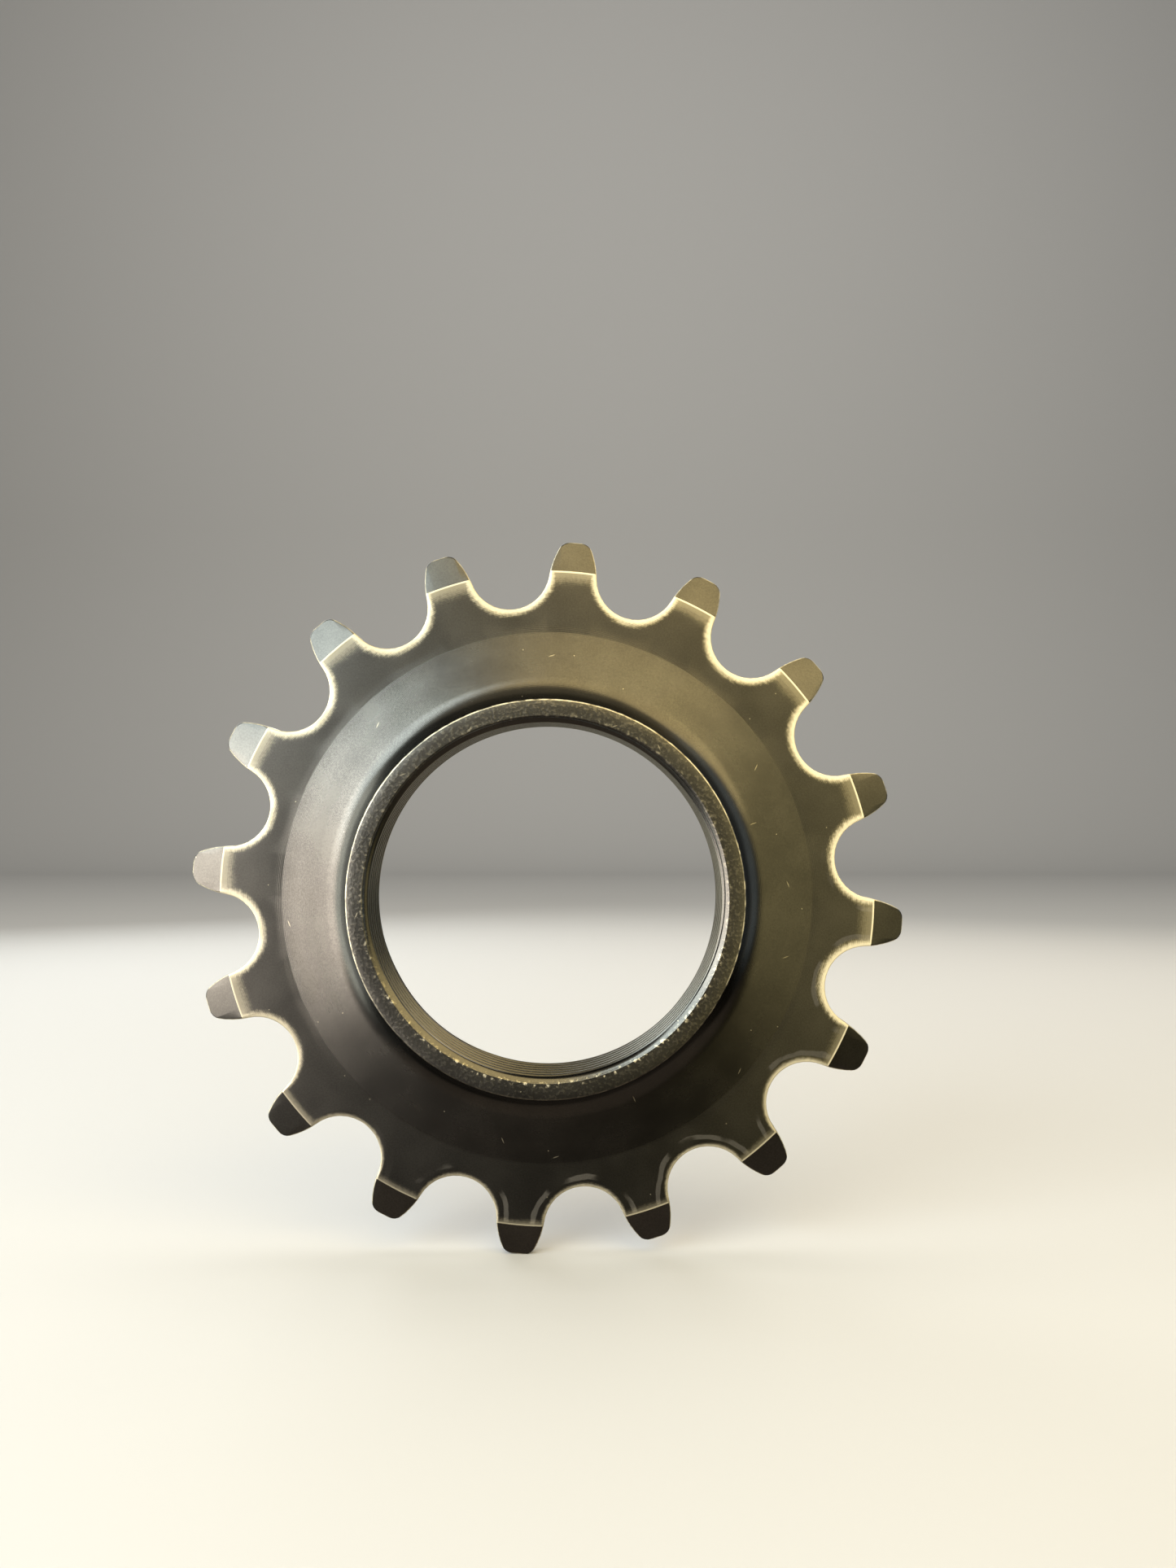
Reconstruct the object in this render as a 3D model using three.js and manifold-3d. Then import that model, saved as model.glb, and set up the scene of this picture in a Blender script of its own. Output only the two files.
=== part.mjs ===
// Track cog: the rear sprocket of a fixed-gear bicycle, turned and milled from one steel blank.
// It carries a 1/2 inch pitch chain and screws onto the hub by the thread in its bore.
//
// Frame: millimetres. The cog's axis is Y and the boss faces -Y. The origin is on the axis,
// halfway between the boss face and the flat back. Angles around the axis start at +Z and
// grow towards +X, which is clockwise for someone who looks at the boss.

import * as THREE from "three";
import { mergeVertices } from "three/addons/utils/BufferGeometryUtils.js";
import Module from "manifold-3d";

// Chain and teeth
const TEETH = 16;
const CHAIN_PITCH = 12.7;
const SEAT_RADIUS = 4.0; // a 7.75 mm roller rests in it
const SEAT_HALF_ANGLE = degrees(74);
const FLANK_RADIUS = 9.5;
const TIP_RADIUS = 35.3;
const TIP_CORNER_RADIUS = 1.2;
const FIRST_TOOTH_ANGLE = degrees(4.65);

// Turned faces, as radii from the axis and heights along it
const PLATE_THICKNESS = 3.0;
const BOSS_HEIGHT = 4.0; // above the front of the plate
const BEVEL_RADIUS = 32.2; // where the bevel of the teeth begins
const BEVEL_DEPTH = 0.91; // lost from each side of the plate at the tip
const FLAT_INNER_RADIUS = 26.1; // where the flat rim meets the coned web
const WEB_ANGLE = degrees(7);
const FILLET_RADIUS = 2.9;
const BOSS_RADIUS = 19.1;
const BOSS_EDGE_BREAK = 0.15;

// Thread 1.37 inch x 24 tpi, right-hand, with its 60 degree flanks
const THREAD_PITCH = 25.4 / 24;
const THREAD_MAJOR_RADIUS = 17.4;
const THREAD_MINOR_RADIUS = 16.85;
const THREAD_ROOT_FLAT = THREAD_PITCH / 8;
const THREAD_FLANK_ANGLE = degrees(30);
const MOUTH_RADIUS = 17.5; // the bore's chamfers open to this
const MOUTH_ANGLE = degrees(30); // between those chamfers and the faces

// How finely the round shapes are divided
const TURNED_SEGMENTS = 8 * TEETH;
const THREAD_SEGMENTS = 48;
const ARC_DIVISIONS = 6;
const CUTTER_OVERRUN = 0.6; // how far the cutters run past the faces
const THREAD_OVERRUN = 0.2; // how far the thread's cutter reaches into the open bore
const JOIN_TOLERANCE = 1e-5; // vertices of one outline that lie this close are the same
const MESH_TOLERANCE = 0.004; // slivers left by the cuts are merged within this

const PITCH_RADIUS = CHAIN_PITCH / (2 * Math.sin(Math.PI / TEETH));
const OVERALL_WIDTH = PLATE_THICKNESS + BOSS_HEIGHT;
const BACK_Y = OVERALL_WIDTH / 2;
const BOSS_Y = -OVERALL_WIDTH / 2;
const PLATE_FRONT_Y = BACK_Y - PLATE_THICKNESS;

const wasm = await Module();
wasm.setup();

function degrees(angle) {
  return (angle * Math.PI) / 180;
}

// The point at a distance and direction from another, with directions turned from +x to +y
function polar(origin, distance, direction) {
  return new THREE.Vector2(
    origin.x + distance * Math.cos(direction),
    origin.y + distance * Math.sin(direction),
  );
}

function toSolid(geometry) {
  const bare = geometry.clone();
  bare.deleteAttribute("normal");
  bare.deleteAttribute("uv");
  const merged = mergeVertices(bare, JOIN_TOLERANCE);
  return new wasm.Manifold(
    new wasm.Mesh({
      numProp: 3,
      vertProperties: new Float32Array(merged.attributes.position.array),
      triVerts: new Uint32Array(merged.index.array),
    }),
  );
}

function toGeometry(solid) {
  const mesh = solid.getMesh();
  const geometry = new THREE.BufferGeometry();
  geometry.setAttribute("position", new THREE.BufferAttribute(mesh.vertProperties, 3));
  geometry.setIndex(new THREE.BufferAttribute(mesh.triVerts, 1));
  geometry.computeVertexNormals();
  return geometry;
}

// Half of one tooth, from the bottom of the roller seat to the middle of the tip. The tooth
// points along +y and the seat is on its +x side. Each arc starts where the last one ends.
function halfToothArcs() {
  const halfStep = Math.PI / TEETH;
  const axis = new THREE.Vector2(0, 0);
  const seatCentre = polar(axis, PITCH_RADIUS, Math.PI / 2 - halfStep);
  const seatStart = (3 * Math.PI) / 2 - halfStep;
  const seatEnd = seatStart - SEAT_HALF_ANGLE;
  const flankCentre = polar(seatCentre, SEAT_RADIUS + FLANK_RADIUS, seatEnd);
  const corner = cornerCentre(flankCentre);
  const flankEnd = Math.atan2(corner.y - flankCentre.y, corner.x - flankCentre.x);
  const tipStart = Math.atan2(corner.y, corner.x);
  return [
    { centre: seatCentre, radius: SEAT_RADIUS, from: seatStart, to: seatEnd },
    { centre: flankCentre, radius: FLANK_RADIUS, from: seatEnd - Math.PI, to: flankEnd },
    { centre: corner, radius: TIP_CORNER_RADIUS, from: flankEnd, to: tipStart },
    { centre: axis, radius: TIP_RADIUS, from: tipStart, to: Math.PI / 2 },
  ];
}

// The corner arc touches the flank arc and the tip circle from inside both
function cornerCentre(flankCentre) {
  const fromFlank = FLANK_RADIUS - TIP_CORNER_RADIUS;
  const fromAxis = TIP_RADIUS - TIP_CORNER_RADIUS;
  const spacing = flankCentre.length();
  const along = (fromAxis ** 2 - fromFlank ** 2 + spacing ** 2) / (2 * spacing);
  const aside = Math.sqrt(fromAxis ** 2 - along ** 2);
  const direction = flankCentre.clone().divideScalar(spacing);
  return new THREE.Vector2(
    direction.x * along + direction.y * aside,
    direction.y * along - direction.x * aside,
  );
}

function arcPoints({ centre, radius, from, to }) {
  const points = [];
  for (let i = 0; i < ARC_DIVISIONS; i++) {
    points.push(polar(centre, radius, from + ((to - from) * i) / ARC_DIVISIONS));
  }
  return points;
}

// The whole toothed outline, counterclockwise, as seen from the boss
function toothedOutline() {
  const rising = halfToothArcs().flatMap(arcPoints);
  const tip = new THREE.Vector2(0, TIP_RADIUS);
  const falling = rising.slice(1).reverse();
  const mirrored = falling.map((p) => new THREE.Vector2(-p.x, p.y));
  const tooth = [...rising, tip, ...mirrored];
  const centre = new THREE.Vector2(0, 0);
  const outline = [];
  for (let i = 0; i < TEETH; i++) {
    const turn = (i * 2 * Math.PI) / TEETH - FIRST_TOOTH_ANGLE;
    outline.push(...tooth.map((p) => p.clone().rotateAround(centre, turn)));
  }
  return new THREE.Shape(outline);
}

// The outline as a bar along Y, longer than the cog at both ends
function toothedBar() {
  const depth = OVERALL_WIDTH + 2 * CUTTER_OVERRUN;
  const bar = new THREE.ExtrudeGeometry(toothedOutline(), { depth, bevelEnabled: false });
  bar.translate(0, 0, -depth / 2);
  bar.rotateX(Math.PI / 2);
  return toSolid(bar);
}

// The concave fillet between the coned web and the wall of the boss
function filletPoints() {
  const centreRadius = BOSS_RADIUS + FILLET_RADIUS;
  const webHeight = (FLAT_INNER_RADIUS - centreRadius) * Math.tan(WEB_ANGLE);
  const centreY = PLATE_FRONT_Y - webHeight - FILLET_RADIUS / Math.cos(WEB_ANGLE);
  const centre = new THREE.Vector2(centreRadius, centreY);
  const onWeb = Math.PI / 2 + WEB_ANGLE;
  const points = [];
  for (let i = 0; i <= ARC_DIVISIONS; i++) {
    points.push(polar(centre, FILLET_RADIUS, onWeb + ((Math.PI - onWeb) * i) / ARC_DIVISIONS));
  }
  return points;
}

// The blank as it comes off the lathe, before the teeth and the bore are cut
function turnedBlank() {
  const profile = [
    new THREE.Vector2(0, BACK_Y),
    new THREE.Vector2(BEVEL_RADIUS, BACK_Y),
    new THREE.Vector2(TIP_RADIUS + CUTTER_OVERRUN, BACK_Y - bevelDepthAt(CUTTER_OVERRUN)),
    new THREE.Vector2(TIP_RADIUS + CUTTER_OVERRUN, PLATE_FRONT_Y + bevelDepthAt(CUTTER_OVERRUN)),
    new THREE.Vector2(BEVEL_RADIUS, PLATE_FRONT_Y),
    new THREE.Vector2(FLAT_INNER_RADIUS, PLATE_FRONT_Y),
    ...filletPoints(),
    new THREE.Vector2(BOSS_RADIUS, BOSS_Y + BOSS_EDGE_BREAK),
    new THREE.Vector2(BOSS_RADIUS - BOSS_EDGE_BREAK, BOSS_Y),
    new THREE.Vector2(0, BOSS_Y),
  ].reverse();
  return toSolid(new THREE.LatheGeometry(profile, TURNED_SEGMENTS, FIRST_TOOTH_ANGLE));
}

// How deep the bevel is at a distance past the tip circle
function bevelDepthAt(pastTip) {
  return (BEVEL_DEPTH * (TIP_RADIUS + pastTip - BEVEL_RADIUS)) / (TIP_RADIUS - BEVEL_RADIUS);
}

// The bore at the thread's crests, with a chamfer at each mouth
function boreCutter() {
  const slope = Math.tan(MOUTH_ANGLE);
  const chamferDepth = (MOUTH_RADIUS - THREAD_MINOR_RADIUS) * slope;
  const end = BACK_Y + CUTTER_OVERRUN;
  const endRadius = MOUTH_RADIUS + CUTTER_OVERRUN / slope;
  const profile = [
    new THREE.Vector2(0, -end),
    new THREE.Vector2(endRadius, -end),
    new THREE.Vector2(THREAD_MINOR_RADIUS, -BACK_Y + chamferDepth),
    new THREE.Vector2(THREAD_MINOR_RADIUS, BACK_Y - chamferDepth),
    new THREE.Vector2(endRadius, end),
    new THREE.Vector2(0, end),
  ];
  return toSolid(new THREE.LatheGeometry(profile, THREAD_SEGMENTS));
}

// One long groove: a straight bar of the groove's section, wound into a helix
function threadCutter() {
  const innerRadius = THREAD_MINOR_RADIUS - THREAD_OVERRUN;
  const rootHalf = THREAD_ROOT_FLAT / 2;
  const innerHalf = rootHalf + (THREAD_MAJOR_RADIUS - innerRadius) * Math.tan(THREAD_FLANK_ANGLE);
  const section = new THREE.Shape([
    new THREE.Vector2(innerRadius, -innerHalf),
    new THREE.Vector2(THREAD_MAJOR_RADIUS, -rootHalf),
    new THREE.Vector2(THREAD_MAJOR_RADIUS, rootHalf),
    new THREE.Vector2(innerRadius, innerHalf),
  ]);
  const turns = Math.ceil((OVERALL_WIDTH + 2 * THREAD_PITCH) / THREAD_PITCH);
  const bar = new THREE.ExtrudeGeometry(section, {
    depth: turns,
    steps: turns * THREAD_SEGMENTS,
    bevelEnabled: false,
  });
  const position = bar.attributes.position;
  for (let i = 0; i < position.count; i++) {
    const radius = position.getX(i);
    const turn = turns / 2 - position.getZ(i);
    const angle = 2 * Math.PI * turn;
    position.setXYZ(
      i,
      radius * Math.sin(angle),
      position.getY(i) + turn * THREAD_PITCH,
      radius * Math.cos(angle),
    );
  }
  return toSolid(bar);
}

function trackCog() {
  const blank = turnedBlank().intersect(toothedBar());
  const bored = blank.subtract(boreCutter());
  const threaded = bored.subtract(threadCutter());
  const blackenedSteel = new THREE.MeshStandardMaterial({
    color: 0x3a3936,
    roughness: 0.42,
    metalness: 1.0,
  });
  const mesh = new THREE.Mesh(toGeometry(threaded.simplify(MESH_TOLERANCE)), blackenedSteel);
  mesh.name = "track_cog";
  return mesh;
}

const model = new THREE.Group();
model.add(trackCog());

export default model;
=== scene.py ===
"""The track cog as it looks: one piece of blackened turned steel, worn bright along its tooth edges.

All lengths in the first part are millimetres in the CAD frame: the cog's axis is Y, its boss faces -Y
and +Z is up. Angles around the axis start at +Z and grow towards +X.
"""

import math

import bmesh
import bpy
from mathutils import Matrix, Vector


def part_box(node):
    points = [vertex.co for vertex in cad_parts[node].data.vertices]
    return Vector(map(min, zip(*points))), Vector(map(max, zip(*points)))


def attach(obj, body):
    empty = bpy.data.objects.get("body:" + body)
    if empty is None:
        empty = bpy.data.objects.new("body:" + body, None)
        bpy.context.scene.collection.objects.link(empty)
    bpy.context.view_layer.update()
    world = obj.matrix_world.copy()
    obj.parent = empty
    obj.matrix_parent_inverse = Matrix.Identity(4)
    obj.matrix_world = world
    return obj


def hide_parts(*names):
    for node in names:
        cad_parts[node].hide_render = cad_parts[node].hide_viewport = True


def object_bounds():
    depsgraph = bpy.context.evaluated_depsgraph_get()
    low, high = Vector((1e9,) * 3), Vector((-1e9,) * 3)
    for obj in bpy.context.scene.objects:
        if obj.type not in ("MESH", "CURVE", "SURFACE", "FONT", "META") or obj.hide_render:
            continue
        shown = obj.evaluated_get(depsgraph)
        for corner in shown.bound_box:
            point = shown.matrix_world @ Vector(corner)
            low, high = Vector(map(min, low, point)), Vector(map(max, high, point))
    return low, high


MM = 0.001
NODE = "track_cog"

# Chain and teeth
TEETH = 16
CHAIN_PITCH = 12.7
SEAT_RADIUS = 4.0
SEAT_HALF_ANGLE = math.radians(74)
FLANK_RADIUS = 9.5
TIP_RADIUS = 35.28  # 0.02 less than the CAD has, to stay inside its box
TIP_CORNER_RADIUS = 1.2
FIRST_TOOTH_ANGLE = math.radians(4.65)
TOOTH_STEP = 2 * math.pi / TEETH
PITCH_RADIUS = CHAIN_PITCH / (2 * math.sin(TOOTH_STEP / 2))

# Turned faces
PLATE_THICKNESS = 3.0
BEVEL_RADIUS = 32.2
BEVEL_SLOPE = 0.91 / 3.1  # how deep the bevel is at the tip, over how far it reaches
FLAT_INNER_RADIUS = 26.1
WEB_ANGLE = math.radians(7)
FILLET_RADIUS = 2.9
BOSS_RADIUS = 19.1
BOSS_EDGE_RADIUS = 0.15
MOUTH_RADIUS = 17.5
MOUTH_ANGLE = math.radians(30)  # between the bore's chamfers and the faces

# Thread 1.37 inch x 24 tpi
THREAD_PITCH = 25.4 / 24
THREAD_MAJOR_RADIUS = 17.4
THREAD_MINOR_RADIUS = 16.85
CREST_HALF_SHARE = 0.14  # of a pitch, from the middle of a crest to its edge
ROOT_HALF_SHARE = 0.0625
THREAD_ROWS = (-0.1, 0.1, 0.18, 0.29, 0.4, 0.47, 0.53, 0.6, 0.71, 0.82)  # shares of a pitch from a crest

# Rounded edges and how finely the shapes are divided
TOOTH_EDGE_RADIUS = 0.12
LINE_SOFTNESS = 0.05  # half the width of the rounding where two turned faces meet
MOUTH_EDGE_RADIUS = 0.08
SEAT_STEPS, FLANK_STEPS, CORNER_STEPS, TIP_STEPS = 8, 5, 4, 1
EDGE_STEPS = 4
FILLET_STEPS = 12
BACK_RADII = (23.5, 20.5)  # rows across the flat back

# Surface detail
TURNING_PITCH = 0.13  # from one lathe mark to the next
TURNING_DEPTH = 0.0003
RING_RADII = (FLAT_INNER_RADIUS + 0.25, BOSS_RADIUS + 1.8)  # the lathe marks are deeper round these
RING_HALF_WIDTH = 0.7
GRAIN_DEPTH = 0.0015
PIT_DEPTH = 0.018
EDGE_WEAR = 0.95  # how far bare metal reaches in from the teeth's outline
LINE_WEAR = 1.7  # and from the bevel's first edge, towards the axis
BARE_STEEL = (0.48, 0.43, 0.29, 1)
DARK_OXIDE = (0.045, 0.043, 0.037, 1)
LIGHT_OXIDE = (0.063, 0.060, 0.051, 1)
PITTED_OXIDE = (0.15, 0.14, 0.11, 1)
DRIED_OIL = (0.17, 0.16, 0.14, 1)
LOWER_RIGHT = (0.6, -0.8)  # (x, z) of the direction in which oil dried
SCRATCHES = ((0.4, 0.12), (1.9, 0.1), (2.7, 0.08))  # direction in radians, share of cells with one

# Floor and wall, in metres
NEAR_Y, FAR_Y = -2.0, 0.8
MIRRORED_Y = (0.01, 0.28)  # the cog mirrors the floor between these
FLOOR_HALF_WIDTH = 2.0
SWEEP_RADIUS, SWEEP_STEPS = 0.35, 12
WALL_HEIGHT = 2.0
PALE_FLOOR = (0.27, 0.267, 0.258)

# Light and camera
CAMERA_PLACE = (4.26, -119.74, 7.79)
CAMERA_TURN = (91.55, 0.0, 0.10)
LENS_MM = 28.0
LIGHT_DISTANCE = 0.36  # metres
LIGHTS = (  # name, around and tilt, width and height as seen from the cog (all degrees), radiance, colour
    ("window_high", 306, 47, (40, 36), 13.0, (0.80, 0.92, 1.0)),
    ("window_low", 268, 47, (40, 34), 12.4, (1.0, 0.91, 0.87)),
    ("window_side", 270, 81, (30, 60), 5.5, (0.95, 1.0, 0.97)),
    ("lamp", 27, 46, (60, 46), 5.6, (1.0, 0.80, 0.42)),
    ("ceiling", 5, 80, (90, 40), 0.7, (1.0, 0.86, 0.60)),
    ("fill", 80, 32, (44, 44), 1.7, (1.0, 0.86, 0.45)),
    ("side_right", 75, 85, (40, 70), 0.9, (0.75, 0.88, 1.0)),
    ("bounce", 172, 64, (90, 56), 0.35, (1.0, 0.80, 0.65)),
    ("behind_left", 315, 140, (40, 34), 5.0, (0.97, 1.0, 1.0)),
    ("behind_right", 40, 138, (40, 34), 3.0, (1.0, 0.92, 0.8)),
)


# ---------------------------------------------------------------- shape


def polar(centre, distance, direction):
    return (
        centre[0] + distance * math.cos(direction),
        centre[1] + distance * math.sin(direction),
    )


def clockwise(x, y, turn):
    c, s = math.cos(turn), math.sin(turn)
    return (x * c + y * s, y * c - x * s)


def corner_centre(flank_centre):
    """The corner arc touches the flank arc and the tip circle from inside both."""
    from_flank = FLANK_RADIUS - TIP_CORNER_RADIUS
    from_axis = TIP_RADIUS - TIP_CORNER_RADIUS
    spacing = math.hypot(*flank_centre)
    along = (from_axis**2 - from_flank**2 + spacing**2) / (2 * spacing)
    aside = math.sqrt(from_axis**2 - along**2)
    ux, uy = flank_centre[0] / spacing, flank_centre[1] / spacing
    return (ux * along + uy * aside, uy * along - ux * aside)


def half_tooth_arcs():
    """Arcs from the bottom of the roller seat to the middle of the tip, of a tooth that points along +y.

    Each is centre, radius, first and last direction, steps, and -1 where the steel is outside the arc.
    """
    axis = (0.0, 0.0)
    seat = polar(axis, PITCH_RADIUS, math.pi / 2 - TOOTH_STEP / 2)
    seat_start = 1.5 * math.pi - TOOTH_STEP / 2
    seat_end = seat_start - SEAT_HALF_ANGLE
    flank = polar(seat, SEAT_RADIUS + FLANK_RADIUS, seat_end)
    corner = corner_centre(flank)
    flank_end = math.atan2(corner[1] - flank[1], corner[0] - flank[0])
    tip_start = math.atan2(corner[1], corner[0])
    return [
        (seat, SEAT_RADIUS, seat_start, seat_end, SEAT_STEPS, -1),
        (flank, FLANK_RADIUS, seat_end - math.pi, flank_end, FLANK_STEPS, 1),
        (corner, TIP_CORNER_RADIUS, flank_end, tip_start, CORNER_STEPS, 1),
        (axis, TIP_RADIUS, tip_start, math.pi / 2, TIP_STEPS, 1),
    ]


def half_tooth():
    """Points and outward normals along those arcs, without the middle of the tip."""
    samples = []
    for centre, radius, first, last, steps, side in half_tooth_arcs():
        for i in range(steps):
            direction = first + (last - first) * i / steps
            x, y = polar(centre, radius, direction)
            samples.append((x, y, side * math.cos(direction), side * math.sin(direction)))
    return samples


def toothed_outline():
    """The whole outline clockwise from half a step before the first tooth, as (x, z, nx, nz)."""
    rising = half_tooth()
    tip = (0.0, TIP_RADIUS, 0.0, 1.0)
    left = [(-x, y, -nx, ny) for x, y, nx, ny in rising]
    tooth = left + [tip] + rising[:0:-1]
    outline = []
    for i in range(TEETH):
        turn = FIRST_TOOTH_ANGLE + i * TOOTH_STEP
        for x, y, nx, ny in tooth:
            outline.append((*clockwise(x, y, turn), *clockwise(nx, ny, turn)))
    return outline


def bevel_drop(radius):
    """How far the bevel of the teeth lies below the flat rim, with its first edge rounded."""
    past = radius - BEVEL_RADIUS
    if past <= -LINE_SOFTNESS:
        return 0.0
    if past >= LINE_SOFTNESS:
        return BEVEL_SLOPE * past
    return BEVEL_SLOPE * (past + LINE_SOFTNESS) ** 2 / (4 * LINE_SOFTNESS)


def towards_ring(point, ring, radius):
    """Where the straight line from an outline point to a ring point crosses a radius, if it does."""
    if math.hypot(*point) <= radius:
        return point
    near, far = 0.0, 1.0
    for _ in range(30):
        middle = (near + far) / 2
        x = point[0] + (ring[0] - point[0]) * middle
        z = point[1] + (ring[1] - point[1]) * middle
        if math.hypot(x, z) > radius:
            near = middle
        else:
            far = middle
    return (x, z)


def face_rows(sample, angle, height, inward):
    """One column of a plate face, from the middle of the tooth's wall to the flat rim's inner edge.

    height gives the face's y at a radius, and inward is the y direction into the steel.
    """
    x, z, nx, nz = sample
    rows = []
    for i in range(EDGE_STEPS + 1):
        turn = i / EDGE_STEPS * math.pi / 2
        back = TOOTH_EDGE_RADIUS * (1 - math.cos(turn))
        deep = TOOTH_EDGE_RADIUS * (1 - math.sin(turn))
        px, pz = x - back * nx, z - back * nz
        rows.append((px, height(math.hypot(px, pz)) + inward * deep, pz))
    edge = (px, pz)
    ring = (FLAT_INNER_RADIUS * math.sin(angle), FLAT_INNER_RADIUS * math.cos(angle))
    for share in (1.0, 0.4, -0.4, -1.0):
        px, pz = towards_ring(edge, ring, BEVEL_RADIUS + share * LINE_SOFTNESS)
        rows.append((px, height(math.hypot(px, pz)), pz))
    for share in (0.35, 0.7):
        rows.append((px + (ring[0] - px) * share, height(0), pz + (ring[1] - pz) * share))
    return rows


def turned_rows(angle, profile):
    return [(r * math.sin(angle), y, r * math.cos(angle)) for r, y in profile]


def front_profile(front_y, boss_y):
    """(radius, y) from the flat rim's inner edge over web, fillet and boss to the bore's mouth."""
    slope = math.tan(WEB_ANGLE)
    profile = [(FLAT_INNER_RADIUS + LINE_SOFTNESS, front_y)]
    profile.append((FLAT_INNER_RADIUS - LINE_SOFTNESS, front_y - LINE_SOFTNESS * slope))
    centre_radius = BOSS_RADIUS + FILLET_RADIUS
    centre_y = front_y - (FLAT_INNER_RADIUS - centre_radius) * slope - FILLET_RADIUS / math.cos(WEB_ANGLE)
    on_web = math.pi / 2 + WEB_ANGLE
    web_end = polar((centre_radius, centre_y), FILLET_RADIUS, on_web)
    for share in (0.35, 0.7):
        radius = FLAT_INNER_RADIUS + (web_end[0] - FLAT_INNER_RADIUS) * share
        profile.append((radius, front_y - (FLAT_INNER_RADIUS - radius) * slope))
    for i in range(FILLET_STEPS + 1):
        turn = on_web + (math.pi - on_web) * i / FILLET_STEPS
        profile.append(polar((centre_radius, centre_y), FILLET_RADIUS, turn))
    edge = (BOSS_RADIUS - BOSS_EDGE_RADIUS, boss_y + BOSS_EDGE_RADIUS)
    for i in range(EDGE_STEPS + 1):
        turn = -math.pi / 2 * i / EDGE_STEPS
        profile.append(polar(edge, BOSS_EDGE_RADIUS, turn))
    profile.append(((BOSS_RADIUS + MOUTH_RADIUS) / 2, boss_y))
    profile += mouth_edge(boss_y, 1)
    return profile


def mouth_edge(face_y, inward):
    """The rounded edge between a flat face and the chamfer of the bore's mouth, as (radius, y)."""
    reach = MOUTH_EDGE_RADIUS * math.tan(MOUTH_ANGLE / 2)
    rows = []
    for i in range(EDGE_STEPS):
        turn = MOUTH_ANGLE * i / EDGE_STEPS
        radius = MOUTH_RADIUS + reach - MOUTH_EDGE_RADIUS * math.sin(turn)
        rows.append((radius, face_y + inward * MOUTH_EDGE_RADIUS * (1 - math.cos(turn))))
    return rows


def thread_radius(share):
    """The thread's radius at a share of a pitch from the middle of a crest."""
    from_crest = min(abs(share), 1 - share)
    rise = (from_crest - CREST_HALF_SHARE) / (0.5 - ROOT_HALF_SHARE - CREST_HALF_SHARE)
    return THREAD_MINOR_RADIUS + (THREAD_MAJOR_RADIUS - THREAD_MINOR_RADIUS) * min(max(rise, 0), 1)


def bore_profile(angle, boss_y, back_y):
    """(radius, y) of the thread at one angle, from mouth to mouth.

    Rows follow the helix, step over the thread's corners to ease them, and stop at the chamfers.
    """
    reach = MOUTH_EDGE_RADIUS * (1 - math.cos(MOUTH_ANGLE))
    pitches = math.ceil(back_y / THREAD_PITCH) + 1
    profile = []
    for i in range(-pitches, pitches):
        for share in THREAD_ROWS:
            y = (angle / (2 * math.pi) + i + 0.5 + share) * THREAD_PITCH
            y = min(max(y, boss_y + reach), back_y - reach)
            chamfer = MOUTH_RADIUS - min(y - boss_y, back_y - y) / math.tan(MOUTH_ANGLE)
            profile.append((max(thread_radius(share), chamfer), y))
    return profile


def cog_mesh(boss_y, back_y):
    """The whole cog as a grid: one column per outline point, each a closed loop through the ring."""
    front_y = back_y - PLATE_THICKNESS
    outline = toothed_outline()
    columns = []
    for i, sample in enumerate(outline):
        angle = FIRST_TOOTH_ANGLE + 2 * math.pi * i / len(outline) - TOOTH_STEP / 2
        front = face_rows(sample, angle, lambda r: front_y + bevel_drop(r), 1)
        front += turned_rows(angle, front_profile(front_y, boss_y))
        bore = turned_rows(angle, bore_profile(angle, boss_y, back_y))
        back = face_rows(sample, angle, lambda r: back_y - bevel_drop(r), -1)
        back += turned_rows(angle, [(r, back_y) for r in BACK_RADII] + mouth_edge(back_y, -1))
        columns.append(front + bore + back[::-1])
    faces = grid_faces(len(columns), len(columns[0]), len(front), len(bore))
    vertices = [(x * MM, y * MM, z * MM) for loop in columns for x, y, z in loop]
    mesh = bpy.data.meshes.new("cog")
    mesh.from_pydata(vertices, [], faces)
    return mesh


def grid_faces(columns, rows, bore_start, bore_count):
    """Quads between neighbouring columns. At the seam the thread's rows meet those one pitch further on."""
    faces = []
    for i in range(columns):
        following = (i + 1) % columns
        for j in range(rows):
            k = (j + 1) % rows
            j_next, k_next = j, k
            if following == 0:
                j_next = past_seam(j, bore_start, bore_count)
                k_next = past_seam(k, bore_start, bore_count)
            near, far = i * rows, following * rows
            faces.append((near + j, far + j_next, far + k_next, near + k))
    return faces


def past_seam(row, bore_start, bore_count):
    if not bore_start <= row < bore_start + bore_count:
        return row
    return min(row + len(THREAD_ROWS), bore_start + bore_count - 1)


def clean(mesh):
    """Joins the rows that meet at the ends of the thread and at the gullets, and turns faces outwards."""
    bm = bmesh.new()
    bm.from_mesh(mesh)
    bmesh.ops.remove_doubles(bm, verts=bm.verts, dist=2e-7)
    bmesh.ops.dissolve_degenerate(bm, edges=bm.edges, dist=1e-7)
    bmesh.ops.recalc_face_normals(bm, faces=bm.faces)
    for face in bm.faces:
        face.smooth = True
    bm.to_mesh(mesh)
    bm.free()


def make_cog():
    low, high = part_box(NODE)
    mesh = cog_mesh(low[1] / MM, high[1] / MM)
    clean(mesh)
    cog = bpy.data.objects.new("cog", mesh)
    bpy.context.collection.objects.link(cog)
    weighted = cog.modifiers.new("weighted_normals", "WEIGHTED_NORMAL")
    weighted.weight = 100
    weighted.mode = "FACE_AREA"
    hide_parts(NODE)
    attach(cog, "root")
    return cog


# ---------------------------------------------------------------- materials


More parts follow.
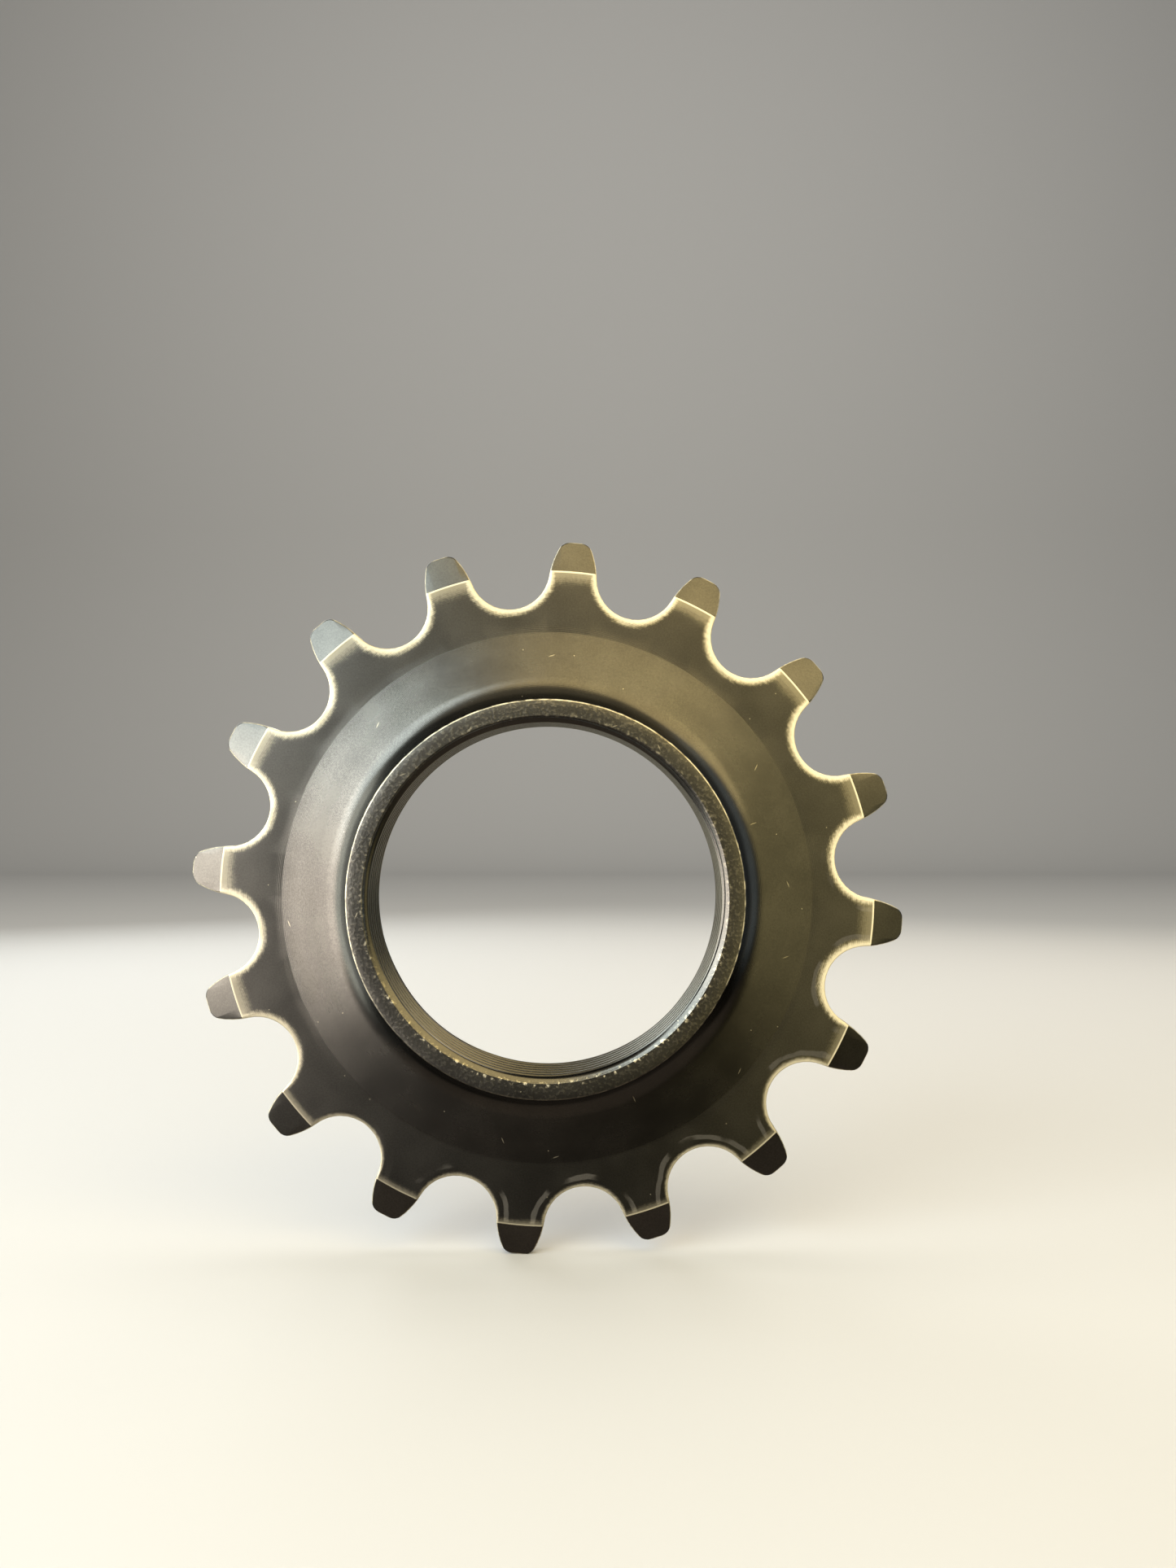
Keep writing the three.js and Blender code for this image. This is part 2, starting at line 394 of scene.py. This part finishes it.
class Graph:
    """A material's node graph. Each method adds a node and returns its output socket."""

    def __init__(self, name):
        self.material = bpy.data.materials.new(name)
        self.material.use_nodes = True
        self.tree = self.material.node_tree
        self.shader = self.tree.nodes["Principled BSDF"]

    def feed(self, socket, value):
        if isinstance(value, bpy.types.NodeSocket):
            self.tree.links.new(value, socket)
        else:
            socket.default_value = value

    def math(self, operation, *values):
        node = self.tree.nodes.new("ShaderNodeMath")
        node.operation = operation
        for socket, value in zip(node.inputs, values):
            self.feed(socket, value)
        return node.outputs[0]

    def add(self, *values):
        total = values[0]
        for value in values[1:]:
            total = self.math("ADD", total, value)
        return total

    def times(self, *values):
        product = values[0]
        for value in values[1:]:
            product = self.math("MULTIPLY", product, value)
        return product

    def minus(self, value, other):
        return self.math("SUBTRACT", value, other)

    def most(self, *values):
        largest = values[0]
        for value in values[1:]:
            largest = self.math("MAXIMUM", largest, value)
        return largest

    def vector(self, x, y):
        node = self.tree.nodes.new("ShaderNodeCombineXYZ")
        self.feed(node.inputs[0], x)
        self.feed(node.inputs[1], y)
        return node.outputs[0]

    def length(self, a, b):
        return self.math("SQRT", self.add(self.times(a, a), self.times(b, b)))

    def fade(self, value, first, last, at_first=1.0, at_last=0.0):
        """A smooth step that gives at_first below first and at_last above last."""
        node = self.tree.nodes.new("ShaderNodeMapRange")
        node.interpolation_type = "SMOOTHSTEP"
        for socket, number in zip(node.inputs, (value, first, last, at_first, at_last)):
            self.feed(socket, number)
        return node.outputs[0]

    def band(self, value, middle, half_width):
        """1 at the middle of a band and 0 at its edges."""
        return self.fade(self.math("ABSOLUTE", self.minus(value, middle)), 0.0, half_width)

    def noise(self, vector, scale, detail=2.0):
        node = self.tree.nodes.new("ShaderNodeTexNoise")
        self.feed(node.inputs["Vector"], vector)
        node.inputs["Scale"].default_value = scale
        node.inputs["Detail"].default_value = detail
        return node.outputs[0]

    def line_noise(self, value, scale, detail=2.0):
        """Noise that changes along one number only."""
        node = self.tree.nodes.new("ShaderNodeTexNoise")
        node.noise_dimensions = "1D"
        self.feed(node.inputs["W"], value)
        node.inputs["Scale"].default_value = scale
        node.inputs["Detail"].default_value = detail
        return node.outputs[0]

    def specks(self, vector, scale, size, share):
        """Small dots, one in each cell of which a share has one."""
        node = self.tree.nodes.new("ShaderNodeTexVoronoi")
        node.voronoi_dimensions = "2D"
        self.feed(node.inputs["Vector"], vector)
        node.inputs["Scale"].default_value = scale
        split = self.tree.nodes.new("ShaderNodeSeparateColor")
        self.feed(split.inputs[0], node.outputs["Color"])
        chosen = self.math("LESS_THAN", split.outputs[0], share)
        return self.times(chosen, self.fade(node.outputs["Distance"], size * 0.5, size))

    def mix(self, share, colour, other):
        node = self.tree.nodes.new("ShaderNodeMix")
        node.data_type = "RGBA"
        self.feed(node.inputs[0], share)
        self.feed(node.inputs[6], colour)
        self.feed(node.inputs[7], other)
        return node.outputs[2]

    def blend(self, share, number, other):
        return self.add(self.times(number, self.minus(1.0, share)), self.times(other, share))


class CogPlace:
    """Where a point of the surface is on the cog, in millimetres, as sockets of one graph."""

    def __init__(self, g):
        coordinates = g.tree.nodes.new("ShaderNodeTexCoord").outputs["Object"]
        scaled = g.tree.nodes.new("ShaderNodeVectorMath")
        scaled.operation = "SCALE"
        g.feed(scaled.inputs[0], coordinates)
        scaled.inputs["Scale"].default_value = 1 / MM
        self.point = scaled.outputs[0]
        split = g.tree.nodes.new("ShaderNodeSeparateXYZ")
        g.feed(split.inputs[0], self.point)
        self.x, self.y, self.z = split.outputs
        self.flat = g.vector(self.x, self.z)
        self.radius = g.length(self.x, self.z)
        self.angle = g.math("ARCTAN2", self.x, self.z)
        self.edge = self.distance_to_outline(g)

    def distance_to_outline(self, g):
        """How far inside the toothed outline the point is, as if the tips had sharp corners."""
        from_tooth = g.minus(self.angle, FIRST_TOOTH_ANGLE)
        turned = g.math("WRAP", from_tooth, TOOTH_STEP / 2, -TOOTH_STEP / 2)
        across = g.math("ABSOLUTE", g.times(self.radius, g.math("SINE", turned)))
        along = g.times(self.radius, g.math("COSINE", turned))
        (seat, _, _, seat_end, _, _), (flank, *_), _, _ = half_tooth_arcs()
        to_seat = g.length(g.minus(across, seat[0]), g.minus(along, seat[1]))
        to_flank = g.length(g.minus(across, flank[0]), g.minus(along, flank[1]))
        from_seat = g.minus(to_seat, SEAT_RADIUS)
        from_flank = g.minus(FLANK_RADIUS, to_flank)
        joint = polar(seat, SEAT_RADIUS, seat_end)
        on_flank = g.math("GREATER_THAN", along, joint[1])
        side = g.blend(on_flank, from_seat, from_flank)
        return g.math("MINIMUM", side, g.minus(TIP_RADIUS, self.radius))


def turning_marks(g, place):
    """The fine rings left by the lathe, from -1 to 1."""
    return g.math("SINE", g.times(place.radius, 2 * math.pi / TURNING_PITCH))


def worn_teeth(g, place, marks):
    """Share of bare metal on the teeth, from 0 to 1.

    A band follows the gullets. A line and a faint band run along the bevel's first edge, and a broken
    line runs round the tips. The wear is strongest on the +X side and fades towards the bottom.
    """
    streaks = g.times(g.minus(g.line_noise(place.radius, 3.0), 0.5), 0.25)
    grain = g.times(g.minus(g.noise(place.point, 4.0), 0.5), 0.5)
    uneven = g.add(g.times(marks, 0.08), streaks, grain)
    reach = g.fade(g.noise(place.point, 0.16, 3.0), 0.35, 0.65, 0.85, 1.1)
    reach = g.times(reach, g.fade(place.z, -22.0, -8.0, 0.5, 1.0))
    to_the_right = g.fade(place.x, -25.0, 25.0, 0.62, 0.92)
    strength = g.times(to_the_right, g.fade(place.z, -26.0, -4.0, 0.65, 1.0))

    before_bevel = g.minus(BEVEL_RADIUS, place.radius)
    on_rim = g.fade(before_bevel, -0.01, 0.01, 0.0, 1.0)
    from_edge = g.add(g.math("DIVIDE", place.edge, g.times(reach, EDGE_WEAR)), uneven)
    from_line = g.add(g.math("DIVIDE", before_bevel, g.times(reach, LINE_WEAR)), uneven)
    along_edge = g.times(strength, g.fade(from_edge, 0.15, 1.0))
    along_line = g.times(strength, g.fade(before_bevel, 0.08, 0.28))
    below_line = g.fade(from_line, 0.2, 1.0, 0.27, 0.0)
    broken = g.fade(g.noise(place.point, 2.5), 0.35, 0.6, 0.5, 0.75)
    round_tip = g.times(broken, g.fade(place.edge, 0.04, 0.12))
    return g.most(round_tip, g.times(on_rim, g.most(along_edge, along_line, below_line)))


def boss_wear_and_rim_highlight(g, place, boss_y):
    """Share of bare metal on the boss: a line round its rim, partly worn edge and partly a painted
    highlight that is strongest at the top, nicks round the mouth and the crests.
    """
    past_face = g.minus(place.y, boss_y)
    to_rim = g.length(g.minus(place.radius, BOSS_RADIUS - 0.03), g.minus(past_face, 0.03))
    uneven = g.noise(place.point, 1.3, 3.0)
    rim = g.times(g.fade(to_rim, 0.06, 0.15), g.fade(uneven, 0.35, 0.6, 0.2, 0.8))
    # painted highlight: the rim's bright line is kept full at the top and fades towards the bottom, as if
    # lit from above
    rim = g.times(rim, g.fade(place.z, -14.0, -4.0, 0.2, 1.0))
    low = g.fade(place.z, -16.0, 4.0, 1.0, 0.35)
    chipped = g.fade(g.noise(place.flat, 2.2, 5.0), 0.52, 0.66, 0.0, 0.7)
    near_mouth = g.times(g.band(place.radius, MOUTH_RADIUS + 0.1, 0.4), g.fade(past_face, 0.2, 0.4))
    mouth = g.times(near_mouth, chipped, low)
    crest = g.fade(place.radius, THREAD_MINOR_RADIUS + 0.02, THREAD_MINOR_RADIUS + 0.12, 0.15, 0.0)
    return g.most(rim, mouth, crest)


def scratches(g, place):
    """A few short bright scratches and dust specks on the faces."""
    total = g.times(g.specks(place.flat, 0.4, 0.03, 0.1), 0.35)
    for turn, share in SCRATCHES:
        across = g.add(g.times(place.x, math.cos(turn)), g.times(place.z, math.sin(turn)))
        along = g.minus(g.times(place.z, math.cos(turn)), g.times(place.x, math.sin(turn)))
        stretched = g.vector(g.times(across, 0.45), g.times(along, 0.06))
        total = g.add(total, g.times(g.specks(stretched, 1.0, 0.025, share), 0.3))
    return g.math("MINIMUM", total, 1.0)


def residue(g, place):
    """Share of dried chain oil: faint grey marks that follow the gullets on the rim's lower right."""
    wander = g.noise(place.flat, 0.35)
    offset = g.add(0.5, g.times(wander, 1.0))
    mark = g.fade(g.math("ABSOLUTE", g.minus(place.edge, offset)), 0.2, 0.3)
    broken = g.fade(g.noise(place.flat, 0.22, 3.0), 0.42, 0.52, 0.0, 1.0)
    to_lower_right = g.add(g.times(place.x, LOWER_RIGHT[0]), g.times(place.z, LOWER_RIGHT[1]))
    sector = g.fade(to_lower_right, 10.0, 20.0, 0.0, 1.0)
    on_rim = g.fade(place.radius, BEVEL_RADIUS - 0.3, BEVEL_RADIUS - 0.1)
    on_front = g.fade(place.y, 0.6, 1.2)
    return g.times(mark, broken, sector, on_rim, on_front)


def blackened_steel(boss_y):
    """Black oxide over turned steel, worn to bare metal on its edges."""
    g = Graph("blackened_steel")
    place = CogPlace(g)
    marks = turning_marks(g, place)
    # bare metal from wear, together with the painted highlight along the boss rim
    worn = g.most(worn_teeth(g, place, marks), g.most(boss_wear_and_rim_highlight(g, place, boss_y), scratches(g, place)))
    dried = residue(g, place)
    past_mouth = g.fade(place.radius, MOUTH_RADIUS - 0.2, MOUTH_RADIUS, 0.0, 1.0)
    on_boss = g.times(g.fade(place.radius, BOSS_RADIUS - 0.1, BOSS_RADIUS + 0.1), past_mouth)
    on_rim = g.fade(place.radius, FLAT_INNER_RADIUS - 0.2, FLAT_INNER_RADIUS + 0.2, 0.0, 1.0)
    cloudy = g.noise(place.point, 0.25, 4.0)
    grain = g.noise(place.point, 6.0)
    pits = g.noise(place.point, 3.5, 3.0)

    tone = g.fade(g.add(g.times(cloudy, 0.5), g.times(grain, 0.5)), 0.3, 0.7, 0.0, 1.0)
    oxide = g.mix(tone, DARK_OXIDE, LIGHT_OXIDE)
    oxide = g.mix(g.times(on_boss, g.fade(pits, 0.5, 0.66, 0.0, 0.45)), oxide, PITTED_OXIDE)
    oxide = g.mix(g.times(dried, 0.15), oxide, DRIED_OIL)
    g.feed(g.shader.inputs["Base Color"], g.mix(worn, oxide, BARE_STEEL))
    g.feed(g.shader.inputs["Metallic"], g.fade(g.most(worn, g.times(dried, 0.2)), 0.0, 1.0, 1.0, 0.5))

    streaks = g.times(g.line_noise(place.radius, 3.0), 0.008)
    by_place = g.add(g.times(on_boss, 0.05), g.times(on_rim, 0.025))
    oxide_roughness = g.add(0.24, streaks, g.times(cloudy, 0.05), by_place)
    oxide_roughness = g.blend(dried, oxide_roughness, 0.45)
    g.feed(g.shader.inputs["Roughness"], g.blend(worn, oxide_roughness, 0.5))

    rings = g.add(*[g.band(place.radius, radius, RING_HALF_WIDTH) for radius in RING_RADII])
    turned = g.times(marks, TURNING_DEPTH, g.add(1.0, g.times(rings, 5.0)))
    height = g.add(turned, g.times(grain, GRAIN_DEPTH), g.times(pits, on_boss, PIT_DEPTH))
    bump = g.tree.nodes.new("ShaderNodeBump")
    bump.inputs["Strength"].default_value = 1.0
    bump.inputs["Distance"].default_value = MM
    g.feed(bump.inputs["Height"], height)
    g.feed(g.shader.inputs["Normal"], bump.outputs[0])
    return g.material


def plain(name, colour, roughness):
    material = bpy.data.materials.new(name)
    material.use_nodes = True
    shader = material.node_tree.nodes["Principled BSDF"]
    shader.inputs["Base Color"].default_value = (*colour, 1)
    shader.inputs["Roughness"].default_value = roughness
    return material


# ---------------------------------------------------------------- studio


def make_floor(level):
    """A pale floor that sweeps up into a wall. The cog mirrors only the strip just behind it."""
    sweep = [(FAR_Y, level)]
    for i in range(1, SWEEP_STEPS + 1):
        turn = math.pi / 2 * i / SWEEP_STEPS
        sweep.append((FAR_Y + SWEEP_RADIUS * math.sin(turn), level + SWEEP_RADIUS * (1 - math.cos(turn))))
    sweep.append((FAR_Y + SWEEP_RADIUS, level + WALL_HEIGHT))
    mirrored = [(y, level) for y in MIRRORED_Y]
    material = plain("pale_floor", PALE_FLOOR, 0.9)
    floor_strip("floor_in_front", [(NEAR_Y, level), mirrored[0]], material).visible_glossy = False
    floor_strip("floor_behind", mirrored, material)
    floor_strip("wall", [mirrored[1], *sweep], material).visible_glossy = False


def floor_strip(name, path, material):
    """A wide strip along a path of (y, z) points."""
    vertices = [(x, y, z) for y, z in path for x in (-FLOOR_HALF_WIDTH, FLOOR_HALF_WIDTH)]
    faces = [(2 * i, 2 * i + 1, 2 * i + 3, 2 * i + 2) for i in range(len(path) - 1)]
    mesh = bpy.data.meshes.new(name)
    mesh.from_pydata(vertices, [], faces)
    for polygon in mesh.polygons:
        polygon.use_smooth = True
    mesh.materials.append(material)
    strip = bpy.data.objects.new(name, mesh)
    bpy.context.collection.objects.link(strip)
    strip.visible_shadow = False
    return strip


def make_light(name, around, tilt, spread, radiance, colour):
    """A soft light that faces the cog, at one distance from it.

    around is clockwise from straight up, tilt is from the cog's axis on the boss's side, and spread is
    how wide and how high the light looks from the cog, all in degrees.
    """
    around, tilt = math.radians(around), math.radians(tilt)
    away = Vector((math.sin(tilt) * math.sin(around), -math.cos(tilt), math.sin(tilt) * math.cos(around)))
    size = [2 * LIGHT_DISTANCE * math.tan(math.radians(angle) / 2) for angle in spread]
    power = radiance * math.pi * size[0] * size[1]
    aim_light(area_light(name, size, power, colour), away * LIGHT_DISTANCE, -away)


def make_backdrop_light():
    """Keeps the wall behind the cog pale, and makes no highlight on the cog."""
    backdrop = area_light("backdrop", size=(1.2, 0.6), power=14.0, colour=(1.0, 0.98, 0.95))
    backdrop.visible_glossy = False
    aim_light(backdrop, Vector((0, 0.15, 0.9)), Vector((0, 1, -0.8)))


def area_light(name, size, power, colour):
    data = bpy.data.lights.new(name, "AREA")
    data.shape = "RECTANGLE"
    data.size, data.size_y = size
    data.energy = power
    data.color = colour
    light = bpy.data.objects.new(name, data)
    light.visible_camera = False
    bpy.context.collection.objects.link(light)
    return light


def aim_light(light, place, direction):
    light.location = place
    light.rotation_euler = direction.to_track_quat("-Z", "Y").to_euler()


def make_world():
    world = bpy.data.worlds.new("studio")
    world.use_nodes = True
    background = world.node_tree.nodes["Background"]
    background.inputs["Color"].default_value = (0.75, 0.74, 0.70, 1)
    background.inputs["Strength"].default_value = 0.3
    bpy.context.scene.world = world
    world.cycles_visibility.glossy = False


def make_camera():
    data = bpy.data.cameras.new("camera")
    data.sensor_width = 36
    data.lens = LENS_MM
    data.clip_start = 0.01
    camera = bpy.data.objects.new("camera", data)
    camera.location = [v * MM for v in CAMERA_PLACE]
    camera.rotation_euler = [math.radians(v) for v in CAMERA_TURN]
    bpy.context.collection.objects.link(camera)
    bpy.context.scene.camera = camera


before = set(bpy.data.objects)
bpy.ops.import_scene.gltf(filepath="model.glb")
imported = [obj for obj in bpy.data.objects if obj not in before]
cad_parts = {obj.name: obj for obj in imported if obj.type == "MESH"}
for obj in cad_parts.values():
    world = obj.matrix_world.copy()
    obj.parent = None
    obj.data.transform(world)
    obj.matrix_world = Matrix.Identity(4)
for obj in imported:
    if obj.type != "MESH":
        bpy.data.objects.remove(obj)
cad_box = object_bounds()
make_camera()
cog = make_cog()
cog.data.materials.append(blackened_steel(cad_box[0][1] / MM))
make_floor(cad_box[0][2])
make_world()
for light in LIGHTS:
    make_light(*light)
make_backdrop_light()
bpy.context.scene.view_settings.view_transform = "Standard"
